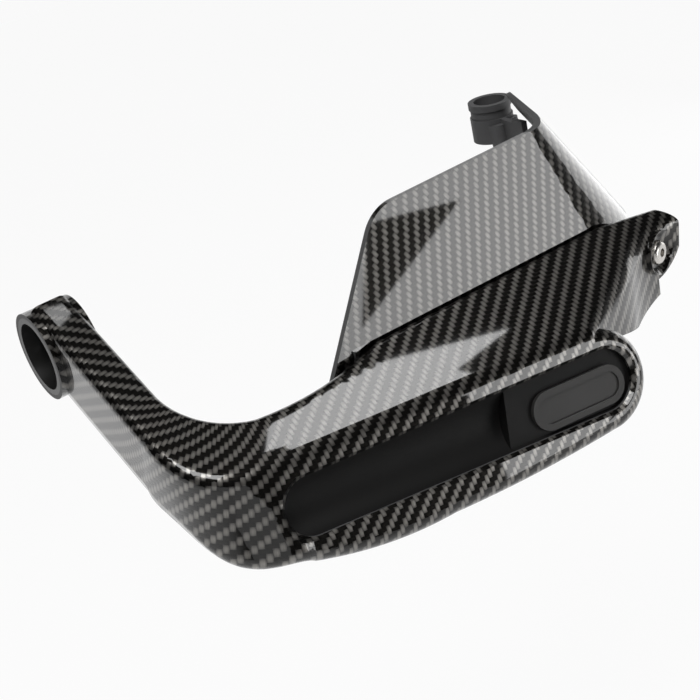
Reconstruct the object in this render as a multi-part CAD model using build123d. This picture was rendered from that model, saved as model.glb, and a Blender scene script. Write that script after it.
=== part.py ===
"""Hand guard for the right-hand end of a motorcycle handlebar.

Origin: the centre of the bar-end eye, at its outboard face.
+X runs inboard along the bar, +Y to the rider, +Z up along the mirror boss.
The guard shell is drawn in its own plane and then pitched about the bar.
"""
import os
from math import atan2, cos, pi, radians, sin, tan

from build123d import *

os.makedirs("parts", exist_ok=True)

# General sizes
wall = 3.0
fit = 0.4
seat_gap = 0.02
shell_pitch = 25.0

# Bar-end eye and its stepped liner
eye_bore_radius = 18.5
eye_wall = 2.0
eye_radius = eye_bore_radius + eye_wall
eye_length = 22.0
liner_wall = 2.7
liner_step_depth = 9.0
liner_bore_radius = 12.5

# Arm from the eye to the corner
top = eye_bore_radius + wall
arm_outboard = 2.3
arm_start = 8.0
arm_width = 18.0
arm_toe = 1.2
arm_depth = 28.0
arm_end_depth = 30.0
arm_edge_fold = 12.0
arm_edge_depth = 5.5
arm_crease_radius = 4.5
arm_rear_lip = 7.0

# Front of the guard with its leaning slot panel
crease_x = 47.0
crease_y = -123.5
panel_yaw = 6.4
panel_lean = 40.7
panel_depth = 51.0
panel_end_depth = 47.5
panel_run = 151.4
panel_edge_depth = 11.0
panel_edge_radius = 6.0
front_crease_radius = 9.0
front_rear_lip = 13.5
corner_radius = 30.0
inner_corner_radius = 36.0
corner_rear_edge = -98.0
rear_edge = -90.0
rear_step_start = 79.0
rear_step_end = 113.0
rear_step_radius = 20.0
rear_edge_radius = 4.0
growth_lead = 26.0
growth_length = 84.0
swing_lead = 40.0
swing_length = 48.0
lead_length = 19.0
lead_shares = (0, 0.33, 0.67, 1)
bend_lead = 12.0
bend_shares = (0.1, 0.4, 0.7)
bend_blend = 14.0
front_blend = 80.0

# Long slot in the panel
slot_left = 3.2
slot_right = 152.2
slot_left_drop = 21.5
slot_right_drop = 23.7
slot_left_radius = 12.5
slot_right_radius = 14.2
slot_chamfer = 1.5

# Rounded inboard end of the panel
nose_radius = panel_end_depth / 2
nose_depth = 20.0

# Ear and its clamp bolt
bolt_x = 273.7
bolt_y = -104.4
bolt_z = -39.9
bolt_yaw = 16.5
ear_end_radius = 18.0
ear_end_rise = 4.5
ear_end_back = 2.0
ear_rear_edge = -97.5
ear_tip_lip = 6.5
# Ear sections: run past the panel, crease back, hem out, hem height, crease radius
ear_stations = [
    (0, 0, 5.45, 14.3, front_crease_radius),
    (12, -7, -0.5, 8.0, 11.0),
    (27, -16, -5, 1.0, 14.0),
    (46, -28, -12.5, -9.0, 16.0),
    (66, -40, -24, -11.0, 13.0),
    (88, -43, -31, -10.0, 8.0),
]
ear_fillet_gap = 0.3
ear_lip_start = 27.0
ear_lip_end = 66.0
ear_rear_start = 46.0
ear_rear_end = 88.0
ear_boss_radius = 11.0
ear_boss_depth = 8.0
dish_floor_radius = 7.75
dish_height = 12.0
bolt_radius = 3.0
bolt_clearance = 0.25
bolt_length = 22.0
bolt_head_radius = 6.0
bolt_head_height = 3.4
bolt_head_round = 2.2
socket_width = 4.0
socket_depth = 2.0
sleeve_wall = 1.25
sleeve_radius = bolt_radius + bolt_clearance + sleeve_wall
nut_radius = 4.3
nut_length = 12.0

# Trough behind the slot
trough_depth = 7.5
trough_wall = 2.2
trough_margin = 1.6
bend_relief_start = 1.0
bend_relief_angle = 3.5
platform_start = 100.0
platform_slant = 8.0
platform_depth = 1.2
platform_core_margin = 4.5
lug_radius = 3.2
lug_thickness = 2.5
lug_depth = 8.0
lug_runs = (30.0, 104.0)
lug_offset = trough_margin + lug_radius + fit
insert_screw_radius = 1.4
insert_screw_reach = 4.0
insert_screw_head_radius = 2.7
insert_screw_head_height = 1.8

# Pill-shaped pad on the platform
badge_length = 50.0
badge_height = 18.0
badge_end_gap = 3.9
badge_run = slot_right + slot_right_radius - badge_end_gap - badge_length / 2
badge_drop = 26.2
badge_thickness = 3.0
badge_seat = 1.0
badge_rim = 3.0
badge_recess = 0.8

# Wind deflector
deflector_wall = 2.8
deflector_start = 70.0
deflector_low = -31.0
deflector_low_front = -92.8
deflector_high = 50.0
deflector_high_front = -79.9
fold_low = 281.5
fold_low_radius = 56.0
fold_high = 227.8
fold_high_radius = 12.0
tip_low = (307.3, -34.8)
tip_high = (247.8, -34.9)
deflector_foot = (84.4, -34.0)
deflector_shoulder = (133.6, 33.1)
deflector_corner_radius = 22.0
deflector_fold_top = (224.0, 35.5)
wing_peak = (-46.0, 45.0)
wing_rear = (-34.0, 28.0)
wing_waist = (-36.0, 5.0)
wing_foot = (-60.0, -31.0)
wing_corner_radius = 6.0
flange_start = 103.0
flange_end = 236.0
flange_drop = front_rear_lip
deflector_screw_drop = 9.0
deflector_screw_runs = (127.0, 177.0, 227.0)
deflector_screw_radius = 1.9
deflector_screw_reach = 6.0
deflector_screw_head_radius = 3.6
deflector_screw_head_height = 2.4
screw_clearance = 0.25
screw_tip_gap = 1.0
screw_boss_wall = 2.4

# Mirror boss and its bracket
boss_x = 257.8
boss_y = -16.9
boss_top = 33.0
boss_height = 20.0
boss_wall = 3.0
boss_bore_radius = 8.0
boss_rim_height = 3.2
boss_groove_height = 4.5
boss_groove_depth = 0.7
pad_radius = 12.0
pad_length = 20.0
bracket_width = 17.0
bracket_thickness = 9.0
bracket_edge = 3.0
bracket_elbow_x = 260.5
bracket_elbow_y = -30.0
bracket_elbow_radius = 22.0
bracket_gap = 2.0
gusset_turn = 10.0
gusset_reach = 31.0
gusset_top = 27.0
gusset_foot = 13.0
gusset_thickness = 3.0


def unit(angle):
    """Direction in a plane, turned from its first axis."""
    return Vector(cos(radians(angle)), sin(radians(angle)))


def strip(points, radii, thickness=wall):
    """Thin wall section that follows points, its inside on the right-hand side."""
    corners = [Vector(*point) for point in points]
    ways = [(b - a).normalized() for a, b in zip(corners, corners[1:])]
    sides = [Vector(way.Y, -way.X) for way in ways]
    sides = [sides[0], *sides, sides[-1]]
    inside = [
        corner + (a + b) * (thickness / (1 + a.dot(b)))
        for corner, a, b in zip(corners, sides, sides[1:])
    ]
    turns = [a.cross(b).Z for a, b in zip(ways, ways[1:])]
    back = [
        radius + thickness if turned > 0 else max(radius - thickness, 0)
        for radius, turned in zip(radii, turns)
    ]
    outline = FilletPolyline(
        *corners,
        *reversed(inside),
        radius=[0, *radii, 0, 0, *reversed(back), 0],
        close=True,
    )
    return make_face(outline)


def ease(value):
    """Smooth step from 0 to 1."""
    value = min(max(value, 0), 1)
    return value * value * (3 - 2 * value)


def rod(radius, start, end):
    """Round bar along the local normal."""
    return Pos(0, 0, start) * Cylinder(
        radius, end - start, align=(Align.CENTER, Align.CENTER, Align.MIN)
    )


# Plan lines of the guard: outer crease and inner edge
panel_way = unit(-panel_yaw)
arm_way = unit(arm_toe - 90)
arm_root = Vector(arm_outboard, arm_start)
panel_root = Vector(crease_x, crease_y)
reach = panel_root - arm_root
turn = arm_way.X * panel_way.Y - arm_way.Y * panel_way.X
along_arm = (reach.X * panel_way.Y - reach.Y * panel_way.X) / turn
corner = arm_root + arm_way * along_arm
panel_end = panel_root + panel_way * panel_run
crease = FilletPolyline(arm_root, corner, panel_end, radius=corner_radius).wire()
arm_length, bend_length, front_length = [edge.length for edge in crease.edges()]
bend_end = arm_length + bend_length

inner_root = arm_root + Vector(arm_width, 0)
inner_corner = inner_root + arm_way * ((corner_rear_edge - inner_root.Y) / arm_way.Y)
inner_end = Vector(panel_end.X + corner_radius, rear_edge)
rear_line = [Vector(rear_step_start, corner_rear_edge), Vector(rear_step_end, rear_edge), inner_end]
front_taper = front_length - front_blend
inner_edge = FilletPolyline(
    inner_root,
    inner_corner,
    *rear_line,
    radius=[inner_corner_radius, rear_step_radius, rear_step_radius],
).wire()


def square_across(distance):
    """Point of the inner edge that lies square across from the crease."""
    point = crease.position_at(distance, PositionMode.LENGTH)
    way = crease.tangent_at(distance, PositionMode.LENGTH)
    inward = Vector(-way.Y, way.X)
    hits = inner_edge.intersect(Edge.make_line(point, point + inward * inner_corner_radius * 2))
    return Vector(*hits[0]) if hits else point + inward * arm_width


bend_start = arm_length - bend_lead
lead_start = bend_start - lead_length
bend_stop = bend_end + bend_blend
rear_bend_start = inner_edge.param_at_point(square_across(bend_start))
rear_bend_stop = inner_edge.param_at_point(square_across(bend_stop))


def rear_point(distance):
    """Point of the inner edge that belongs to a section; round the bend both edges advance evenly."""
    share = (distance - bend_start) / (bend_stop - bend_start)
    if 0 < share < 1:
        return inner_edge.position_at(rear_bend_start + (rear_bend_stop - rear_bend_start) * share)
    return square_across(distance)


def band_section(distance):
    """Section of the guard at a distance along the crease."""
    point = crease.position_at(distance, PositionMode.LENGTH)
    rear = rear_point(distance)
    depth = (rear - point).length
    outward = (point - rear).normalized()
    past_bend = distance - bend_end
    growth = sin(min(max((past_bend + growth_lead) / growth_length, 0), 1) * pi / 2)
    swing = ease((past_bend + swing_lead) / swing_length)
    lean = panel_lean * swing
    fold = arm_edge_fold + (90 - arm_edge_fold) * swing
    band_depth = arm_depth + (arm_end_depth - arm_depth) * min(distance / arm_length, 1)
    face_depth = band_depth + (panel_depth - band_depth) * growth
    taper = max(past_bend - front_blend, 0) / front_taper
    face_depth -= (panel_depth - panel_end_depth) * taper**3
    edge_depth = arm_edge_depth + (panel_edge_depth - arm_edge_depth) * swing
    lip = arm_rear_lip + (front_rear_lip - arm_rear_lip) * growth
    crease_radius = arm_crease_radius + (front_crease_radius - arm_crease_radius) * swing
    foot = Vector(0, top) + unit(lean - 90) * face_depth
    points = [
        Vector(-depth, top - lip),
        Vector(-depth, top),
        Vector(0, top),
        foot,
        foot + unit(lean - fold - 90) * edge_depth,
    ]
    plane = Plane(origin=(point.X, point.Y, 0), x_dir=outward, z_dir=(outward.Y, -outward.X, 0))
    return plane * strip(points, [rear_edge_radius, crease_radius, panel_edge_radius])


# Guard shell: arm, lead to the bend, bend and front as thin wall lofts
arm = loft([band_section(0), band_section(lead_start)], ruled=True)
lead = loft([band_section(lead_start + lead_length * share) for share in lead_shares])
bend = loft(
    [
        band_section(bend_start),
        *[band_section(arm_length + bend_length * share) for share in bend_shares],
        band_section(bend_end),
        band_section(bend_stop),
    ]
)
front_start = loft(
    [
        band_section(bend_stop),
        band_section((bend_stop + bend_end + front_blend) / 2),
        band_section(bend_end + front_blend),
    ]
)
front = loft(
    [
        band_section(bend_end + front_blend),
        band_section(bend_end + front_blend + front_taper / 2),
        band_section(crease.length),
    ]
)

# Slot panel frame: first axis along the crease, second up the slope
panel_out = Vector(-sin(radians(panel_yaw)), -cos(radians(panel_yaw)))
panel_out = panel_out * cos(radians(panel_lean)) + Vector(0, 0, sin(radians(panel_lean)))
panel = Plane(
    origin=(crease_x, crease_y, top), x_dir=(panel_way.X, panel_way.Y, 0), z_dir=panel_out
)

# Rounded inboard end of the panel, turned from a cup section
cup = strip([(0, 0), (nose_radius, 0), (nose_radius, -nose_depth)], [panel_edge_radius])
cup = revolve(Plane.XZ * cup, Axis.Z, 180)
nose = panel * Pos(panel_run, -nose_radius, 0) * Rot(Z=-90) * cup

# Ear: the top sheet carries on inboard and rolls down to the clamp bolt
ear_frame = Plane(
    origin=(crease_x, crease_y, 0), x_dir=(panel_way.X, panel_way.Y, 0), z_dir=(0, 0, 1)
)


def ear_section(run, crease_back, hem_out, hem_height, crease_radius):
    """Section of the ear at a distance past the end of the panel."""
    point = panel_root + panel_way * (panel_run + run)
    drawn_in = ease((run - ear_rear_start) / (ear_rear_end - ear_rear_start))
    rear = (rear_edge + (ear_rear_edge - rear_edge) * drawn_in - point.Y) / cos(radians(panel_yaw))
    tapered = ease((run - ear_lip_start) / (ear_lip_end - ear_lip_start))
    lip = front_rear_lip + (ear_tip_lip - front_rear_lip) * tapered
    points = [
        Vector(-rear, top - lip),
        Vector(-rear, top),
        Vector(crease_back, top),
        Vector(hem_out, hem_height),
    ]
    outward = Vector(panel_way.Y, -panel_way.X)
    plane = Plane(origin=(point.X, point.Y, 0), x_dir=outward, z_dir=-Vector(panel_way))
    turn = atan2(top - hem_height, hem_out - crease_back)
    room = crease_back + rear - rear_edge_radius - ear_fillet_gap
    ear_crease_radius = min(crease_radius, room / tan(turn / 2))
    return plane * strip(points, [rear_edge_radius, ear_crease_radius])


ear_sections = [ear_section(*station) for station in ear_stations]
ear_root = loft(ear_sections[:4])
ear_tip = loft(ear_sections[3:])
bolt_way = Vector(sin(radians(bolt_yaw)), -cos(radians(bolt_yaw)))
seat = Plane(origin=(bolt_x, bolt_y, bolt_z), x_dir=(-bolt_way.Y, bolt_way.X, 0), z_dir=bolt_way)
span = 4 * ear_end_radius
beyond = Pos(span / 2, 0, 0) * Rectangle(span, 2 * span) - Circle(ear_end_radius)
beyond = Pos(-ear_end_back, ear_end_rise) * beyond
ear_tip -= Rot(X=-shell_pitch) * (seat * extrude(beyond, amount=span, both=True))
ear = ear_root.fuse(ear_tip.solid(), glue=True)
guard = front + nose + ear
guard = Part(arm.fuse(lead, bend, front_start, guard.solid(), glue=True).wrapped)

# Bar-end eye
pitch = Rot(X=shell_pitch)
eye = Plane.YZ * rod(eye_radius, 0, eye_length)
guard = pitch * (guard + eye)
guard -= Plane.YZ * rod(eye_bore_radius, -wall, eye_length + wall)

# Clamp boss and dished seat, square to the bolt
guard += seat * rod(ear_boss_radius, -ear_boss_depth, wall)
dish = Cone(
    dish_floor_radius,
    dish_floor_radius + dish_height,
    dish_height,
    align=(Align.CENTER, Align.CENTER, Align.MIN),
)
guard -= seat * dish
guard -= seat * rod(sleeve_radius, -2 * ear_boss_depth, dish_height)


def slot_outline(margin=0):
    """Long slot, a little taller at its inboard end."""
    left = Pos(slot_left, -slot_left_drop) * Circle(slot_left_radius + margin)
    right = Pos(slot_right, -slot_right_drop) * Circle(slot_right_radius + margin)
    return make_hull(left.edges() + right.edges())


def slot_edge(run, side):
    """Height of the upper (+1) or lower (-1) slot edge at a run along the panel."""
    share = (run - slot_left) / (slot_right - slot_left)
    middle = -slot_left_drop + (slot_left_drop - slot_right_drop) * share
    return middle + side * (slot_left_radius + (slot_right_radius - slot_left_radius) * share)


# Slot through the panel, with screw bosses behind it
face = pitch * panel.location
lugs = [(run, slot_edge(run, side) + side * lug_offset, side) for run in lug_runs for side in (1, -1)]
for run, height, side in lugs:
    guard += face * Pos(run, height) * rod(lug_radius, -lug_depth, -wall / 2)
    pilot = rod(insert_screw_radius, -lug_depth - wall, -lug_depth + insert_screw_reach)
    guard -= face * Pos(run, height) * pilot
guard -= face * extrude(slot_outline(), amount=2 * wall, both=True)
slot_flare = Pos(0, 0, slot_chamfer) * slot_outline(2 * slot_chamfer)
slot_throat = Pos(0, 0, -slot_chamfer) * slot_outline()
guard -= face * loft([slot_flare, slot_throat], ruled=True)

# Screw bosses on the rear lip for the deflector
lip_face = pitch * Location((0, rear_edge, top - deflector_screw_drop), (90, 0, 0))
screw_boss_radius = deflector_screw_radius + screw_boss_wall
pilot_reach = deflector_screw_reach + screw_tip_gap
for run in deflector_screw_runs:
    screw_boss = rod(screw_boss_radius, wall / 2, pilot_reach + screw_boss_wall / 2)
    guard += lip_face * Pos(run, 0) * screw_boss
    guard -= lip_face * Pos(run, 0) * rod(deflector_screw_radius, -wall, pilot_reach)
export_step(guard, "parts/guard_shell.step")

# Liner pressed into the eye, stepped for the bar-end weight
liner = rod(eye_bore_radius, 0, eye_length)
liner -= rod(eye_bore_radius - liner_wall, -wall, liner_step_depth)
liner -= rod(liner_bore_radius, -wall, eye_length + wall)
export_step(Plane.YZ * liner, "parts/bar_end_liner.step")


def trough_section(run, extra=0):
    """Hollow of the trough across the panel, open to the front."""
    upper = slot_edge(run, 1)
    lower = slot_edge(run, -1)
    floor = ThreePointArc(
        (upper, -wall - extra), ((upper + lower) / 2, -wall - trough_depth - extra), (lower, -wall - extra)
    )
    rim = Polyline((lower, -wall - extra), (lower, wall), (upper, wall), (upper, -wall - extra))
    return Plane(origin=(run, 0, 0), x_dir=(0, 1, 0), z_dir=(1, 0, 0)) * make_face(floor + rim)


# Trough: a thin curved floor with a flat flange that sits behind the slot
trough_start = slot_left - slot_left_radius - 2 * trough_margin
trough_end = slot_right + slot_right_radius + 2 * trough_margin
floor_depth = wall + trough_depth + trough_wall
hollow = loft([trough_section(trough_start), trough_section(trough_end)], ruled=True)
hollow &= extrude(slot_outline(), amount=2 * floor_depth, both=True)
trough = loft(
    [trough_section(trough_start, trough_wall), trough_section(trough_end, trough_wall)], ruled=True
)
trough_outline = slot_outline(trough_margin)
trough &= Pos(0, 0, -wall) * extrude(trough_outline, amount=-floor_depth)
trough += Pos(0, 0, -wall) * extrude(trough_outline, amount=-trough_wall)
for run, height, side in lugs:
    tab = Circle(lug_radius) + Pos(0, -side * lug_offset) * Rectangle(2 * lug_radius, 2 * lug_offset)
    trough += Pos(run, height, -lug_depth) * extrude(tab, amount=-lug_thickness)
trough -= hollow
for run, height, side in lugs:
    trough -= Pos(run, height) * rod(insert_screw_radius + screw_clearance, -2 * lug_depth, 0)

# Raised platform at the inboard end, cored from behind, with a shallow seat for the pad
platform_top = -wall - platform_depth
half_slant = platform_slant / 2
platform_foot = 2 * slot_right_drop
platform_side = make_face(
    Polyline(
        (platform_start + half_slant, 0),
        (trough_end, 0),
        (trough_end, -platform_foot),
        (platform_start - half_slant, -platform_foot),
        close=True,
    )
)
platform = hollow & (Pos(0, 0, platform_top) * extrude(platform_side, amount=-floor_depth))
core_side = Pos(trough_wall, 0) * platform_side
core = extrude(slot_outline(-platform_core_margin) & core_side, amount=-2 * floor_depth)
core = Pos(0, 0, platform_top - trough_wall) * core
pill = Pos(badge_run, -badge_drop) * SlotOverall(badge_length, badge_height)
badge_floor = platform_top - badge_seat
trough = trough + platform - core
trough -= Pos(0, 0, badge_floor) * extrude(pill, amount=floor_depth)
bend_relief = Box(trough_end, trough_end, floor_depth, align=(Align.MAX, Align.CENTER, Align.MIN))
trough -= Pos(bend_relief_start, 0, -wall) * Rot(Y=bend_relief_angle) * bend_relief
ear_relief = Box(trough_end, trough_end, floor_depth, align=(Align.MIN, Align.MIN, Align.MAX))
trough -= Pos(panel_run - fit, slot_edge(slot_right, 1) - fit) * ear_relief
behind_slot = face * Pos(0, 0, -seat_gap)
export_step(behind_slot * trough, "parts/slot_insert.step")

# Pill-shaped pad: raised rim round a plain recessed field
badge = Pos(0, 0, badge_floor) * extrude(pill, amount=badge_thickness)
field = SlotOverall(badge_length - 2 * badge_rim, badge_height - 2 * badge_rim)
field = Pos(badge_run, -badge_drop, badge_floor + badge_thickness) * field
badge -= extrude(field, amount=-badge_recess)
export_step(behind_slot * badge, "parts/badge_plate.step")


def pan_screw(radius, length, head_radius, head_height):
    """Plain screw, its head behind the local plane."""
    head = rod(head_radius, -head_height, 0)
    head = chamfer(head.edges().sort_by(Axis.Z)[:1], head_height / 3)
    return head + rod(radius, 0, length)


# Screws that hold the trough
insert_screw = pan_screw(
    insert_screw_radius,
    lug_thickness + insert_screw_reach - screw_tip_gap,
    insert_screw_head_radius,
    insert_screw_head_height,
)
under_lug = -lug_depth - lug_thickness
insert_screws = [behind_slot * Pos(run, height, under_lug) * insert_screw for run, height, side in lugs]
export_step(Compound(children=insert_screws), "parts/insert_screws.step")


def deflector_section(height, front, fold, fold_radius, tip):
    """Plan section of the deflector: wing, fold and front sheet."""
    points = [tip, (fold, front), (deflector_start, front)]
    return Pos(0, 0, height) * strip(points, [fold_radius], deflector_wall)


# Wind deflector: one folded sheet that rises behind the guard
deflector = loft(
    [
        deflector_section(deflector_low, deflector_low_front, fold_low, fold_low_radius, tip_low),
        deflector_section(deflector_high, deflector_high_front, fold_high, fold_high_radius, tip_high),
    ],
    ruled=True,
)
far = 2 * fold_low
front_trim = FilletPolyline(
    deflector_foot,
    deflector_shoulder,
    deflector_fold_top,
    (deflector_fold_top[0], far),
    (far, far),
    (far, -far),
    (deflector_foot[0], -far),
    radius=[0, deflector_corner_radius, 0, 0, 0, 0, 0],
    close=True,
)
deflector &= extrude(Plane.XZ * make_face(front_trim), amount=far, both=True)
rear_trim = FilletPolyline(
    (-far, deflector_fold_top[1]),
    (deflector_high_front, deflector_fold_top[1]),
    wing_peak,
    wing_rear,
    wing_waist,
    wing_foot,
    (-far, wing_foot[1]),
    radius=[0, 0, wing_corner_radius, wing_corner_radius, wing_corner_radius, 0, 0],
    close=True,
)
deflector &= extrude(Plane.YZ * make_face(rear_trim), amount=far, both=True)

# The sheet stops on the rear lip of the guard and carries on as a screwed flange
guard_plan = Polyline(
    (-far, corner_rear_edge),
    *rear_line[:2],
    (far, rear_edge),
    (far, -far),
    (-far, -far),
    close=True,
)
guard_space = extrude(Pos(0, fit, top) * make_face(guard_plan), amount=-far)
deflector -= pitch * guard_space
step_way = (rear_line[1] - rear_line[0]).normalized()
flange_foot = rear_line[0] + step_way * ((flange_start - rear_step_start) / step_way.X)
flange = strip([(flange_end, rear_edge), rear_line[1], flange_foot], [rear_step_radius], deflector_wall)
deflector += pitch * Pos(0, seat_gap, top) * extrude(flange, amount=-flange_drop)
for run in deflector_screw_runs:
    hole = rod(deflector_screw_radius + screw_clearance, -2 * deflector_wall, wall)
    deflector -= lip_face * Pos(run, 0) * hole
deflector -= seat * rod(pad_radius + bracket_gap, -3 * pad_length, 0)
export_step(deflector, "parts/wind_deflector.step")

# Screws that hold the deflector
deflector_screw = pan_screw(
    deflector_screw_radius,
    deflector_wall + deflector_screw_reach,
    deflector_screw_head_radius,
    deflector_screw_head_height,
)
deflector_screws = [
    lip_face * Pos(run, 0, -deflector_wall - seat_gap) * deflector_screw for run in deflector_screw_runs
]
export_step(Compound(children=deflector_screws), "parts/deflector_screws.step")

# Bracket from the clamp bolt to the mirror boss
boss_radius = boss_bore_radius + boss_wall
boss_foot = boss_top - boss_height
pad_end = -ear_boss_depth - pad_length
bracket_root = seat.from_local_coords((0, 0, -ear_boss_depth - pad_length / 2))
bracket_line = FilletPolyline(
    bracket_root,
    (bracket_elbow_x, bracket_elbow_y, bolt_z),
    (boss_x, boss_y - boss_bore_radius, boss_top - boss_height / 2),
    radius=bracket_elbow_radius,
)
bracket_start = Plane(origin=bracket_root, x_dir=(0, 0, 1), z_dir=bracket_line % 0)
bracket_face = bracket_start * RectangleRounded(bracket_thickness, bracket_width, bracket_edge)
bracket = sweep(bracket_face, bracket_line)
bracket += seat * rod(pad_radius, pad_end, -ear_boss_depth)
bracket += Pos(boss_x, boss_y) * rod(boss_radius, boss_foot, boss_top)
groove_top = boss_top - boss_rim_height
gusset = Polyline(
    (0, boss_foot),
    (0, groove_top - boss_groove_height),
    (-gusset_reach, gusset_top),
    (-gusset_reach, gusset_foot),
    close=True,
)
gusset = extrude(Plane.YZ * make_face(gusset), amount=gusset_thickness / 2, both=True)
bracket += Pos(boss_x, boss_y) * Rot(Z=-gusset_turn) * gusset
groove = rod(2 * boss_radius, groove_top - boss_groove_height, groove_top)
groove -= rod(boss_radius - boss_groove_depth, groove_top - boss_groove_height, groove_top)
bracket -= Pos(boss_x, boss_y) * groove
bracket -= Pos(boss_x, boss_y) * rod(boss_bore_radius, boss_foot - boss_height, boss_top + wall)
nut_end = -ear_boss_depth - nut_length
bracket -= seat * rod(nut_radius, nut_end, 0)
bracket -= seat * rod(bolt_radius + bolt_clearance, -bolt_length - screw_tip_gap, nut_end)
export_step(bracket, "parts/mount_bracket.step")

# Threaded insert, sleeve and clamp bolt on one axis
nut = rod(nut_radius, nut_end, -ear_boss_depth) - rod(bolt_radius, nut_end - wall, 0)
export_step(seat * nut, "parts/bracket_nut.step")
sleeve = rod(sleeve_radius, -ear_boss_depth, 0)
sleeve -= rod(bolt_radius + bolt_clearance, -ear_boss_depth - wall, wall)
export_step(seat * sleeve, "parts/ear_sleeve.step")
bolt = rod(bolt_head_radius, 0, bolt_head_height)
bolt = fillet(bolt.edges().sort_by(Axis.Z)[-1:], bolt_head_round)
socket = RegularPolygon(socket_width / 2, 6, major_radius=False)
bolt -= Pos(0, 0, bolt_head_height) * extrude(socket, amount=-socket_depth)
bolt += rod(bolt_radius, -bolt_length, 0)
export_step(seat * bolt, "parts/ear_bolt.step")
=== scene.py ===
"""Motorcycle hand guard: looks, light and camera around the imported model."""

import math

import bmesh
import bpy
from bpy.props import FloatProperty, FloatVectorProperty, PointerProperty
from mathutils import Matrix, Vector


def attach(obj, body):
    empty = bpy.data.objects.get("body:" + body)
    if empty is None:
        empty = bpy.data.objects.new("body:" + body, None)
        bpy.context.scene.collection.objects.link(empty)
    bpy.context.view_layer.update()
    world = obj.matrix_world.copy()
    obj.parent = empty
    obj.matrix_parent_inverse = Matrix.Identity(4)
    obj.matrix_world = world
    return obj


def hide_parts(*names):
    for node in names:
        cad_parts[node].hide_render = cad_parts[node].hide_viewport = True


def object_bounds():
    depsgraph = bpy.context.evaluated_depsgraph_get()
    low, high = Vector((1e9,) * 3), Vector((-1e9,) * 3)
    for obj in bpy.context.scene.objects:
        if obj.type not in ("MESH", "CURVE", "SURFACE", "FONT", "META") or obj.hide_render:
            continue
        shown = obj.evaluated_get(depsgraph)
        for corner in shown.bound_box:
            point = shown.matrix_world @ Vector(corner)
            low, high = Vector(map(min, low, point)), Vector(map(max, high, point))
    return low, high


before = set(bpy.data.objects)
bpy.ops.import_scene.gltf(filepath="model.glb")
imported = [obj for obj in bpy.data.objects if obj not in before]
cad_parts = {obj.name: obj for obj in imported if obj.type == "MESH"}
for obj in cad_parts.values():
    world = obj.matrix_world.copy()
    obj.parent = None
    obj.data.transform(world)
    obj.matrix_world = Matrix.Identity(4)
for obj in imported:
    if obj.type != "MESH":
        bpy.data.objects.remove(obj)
cad_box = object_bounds()

bl_info = {
    "name": "Hand Guard",
    "version": (1, 0, 0),
    "blender": (4, 5, 0),
    "location": "View3D > Sidebar > Hand Guard",
    "description": "Builds the finished pieces of a motorcycle hand guard and its studio",
    "category": "Object",
}

# Plan of the guard shell, in metres, as the solids are drawn
SHELL_PITCH = math.radians(25.0)
SHELL_TOP = 0.0215
ARM_TOE = math.radians(1.2)
PANEL_YAW = math.radians(6.4)
PANEL_LEAN = math.radians(40.7)
BEND_CENTRE = Vector((0.0578, -0.062))
BEND_RADIUS = 0.060
BAND_MIDDLE = 0.0467
PANEL_REACH = 0.140

# The unpolished inside of the channel: how far under the top it lies and which way its faces look
CEILING_NEAR = 0.002
CEILING_FAR = 0.0045
CEILING_FACING = -0.35
WALL_FACING = 0.3
# Which way the eye's end face looks; that face gets painted shade
EYE_END_FACING = -0.9

# Wind deflector: where its wing starts, how its cloth lies, how much painted shade darkens its warp
# and which faces are unpolished
WING_START = 0.2255
WING_SHEAR = 0.35
DEFLECTOR_TURN = math.radians(31)
# Painted shade: the deflector's warp colour is darkened to this share because the front panel
# lights it more than the shell
DEFLECTOR_PAINTED_SHADE = 0.55
RIDER_FACING = 0.25
EDGE_FACING = 0.6

# Mesh work on the woven skins
MERGE_GAP = 2e-6
SLIVER = 1e-6
FLAT_ANGLE = math.radians(0.3)
SHARP_ANGLE = math.radians(38)
ROUNDED_ANGLE = math.radians(50)
NORMAL_WEIGHT = 80
CUT_PASSES = 4

# Twill: tows in one repeat and in one float, fine fibres of a tow, shade between the tows
TWILL_REPEAT = 4.0
FLOAT_TOWS = 2.0
FIBRES_PER_TOW = 9.0
FIBRE_STRETCH = 0.35
DEEPEST_SHADE = 0.25

# Small screws, as shares of the head, the head's height, the shank and the thread's pitch
SCREW_SIDES = 48
SCREW_SHARP_ANGLE = math.radians(40)
SOCKET_SHARE = 0.42
SOCKET_DEPTHS = (0.55, 0.02)
HEAD_PROFILE = ((0.77, 0.0), (0.87, 0.15), (0.97, 0.31), (1.0, 0.36), (1.0, 1.0))
THREAD_RIDGES = 8
THREAD_ROOT = (0.84, 0.05)
THREAD_CREST = (1.0, 0.5)
TIP_SHARE = 0.7
HEAD_RIM_SHARE = 0.98
TIP_DEPTH = 1e-5

# Lens, from the width of the square picture that it was fitted to
SENSOR_WIDTH = 36.0
FOCAL_PIXELS = 1306.0
PICTURE_PIXELS = 700.0

# Studio in metres: paper, and lamp faces as corners on one plane each
PAPER_LEFT = -4.0
PAPER_RIGHT = 5.0
PAPER_FRONT = -1.3
PAPER_REAR = 4.0
WALL_PLACE = 3.0
WALL_TOP = 2.0
GLOSS_FADE = (-1.2, -0.1)
FRONT_PLANE = -1.0
SIDE_PLANE = 1.2
CEILING_PLANE = 1.0
FRONT_FACE = (
    (0.47, -0.28), (1.2, -0.28), (1.2, 0.06), (0.47, 0.06),
    (0.663, -0.063), (0.806, -0.086), (0.602, -0.178),
)
FRONT_FACE_PARTS = [(0, 1, 5, 6), (1, 2, 5), (2, 3, 4, 5), (3, 0, 6, 4)]
OVERHEAD_FACE = (
    (0.452, 0.036), (0.485, 0.078), (0.56, 0.094), (0.862, 0.029), (0.754, 0.014),
    (0.79, -0.02), (0.80, -0.06), (0.62, -0.034),
)
OVERHEAD_FACE_PARTS = [(0, 1, 2, 7), (2, 3, 4), (2, 4, 7), (4, 5, 6, 7)]
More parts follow.
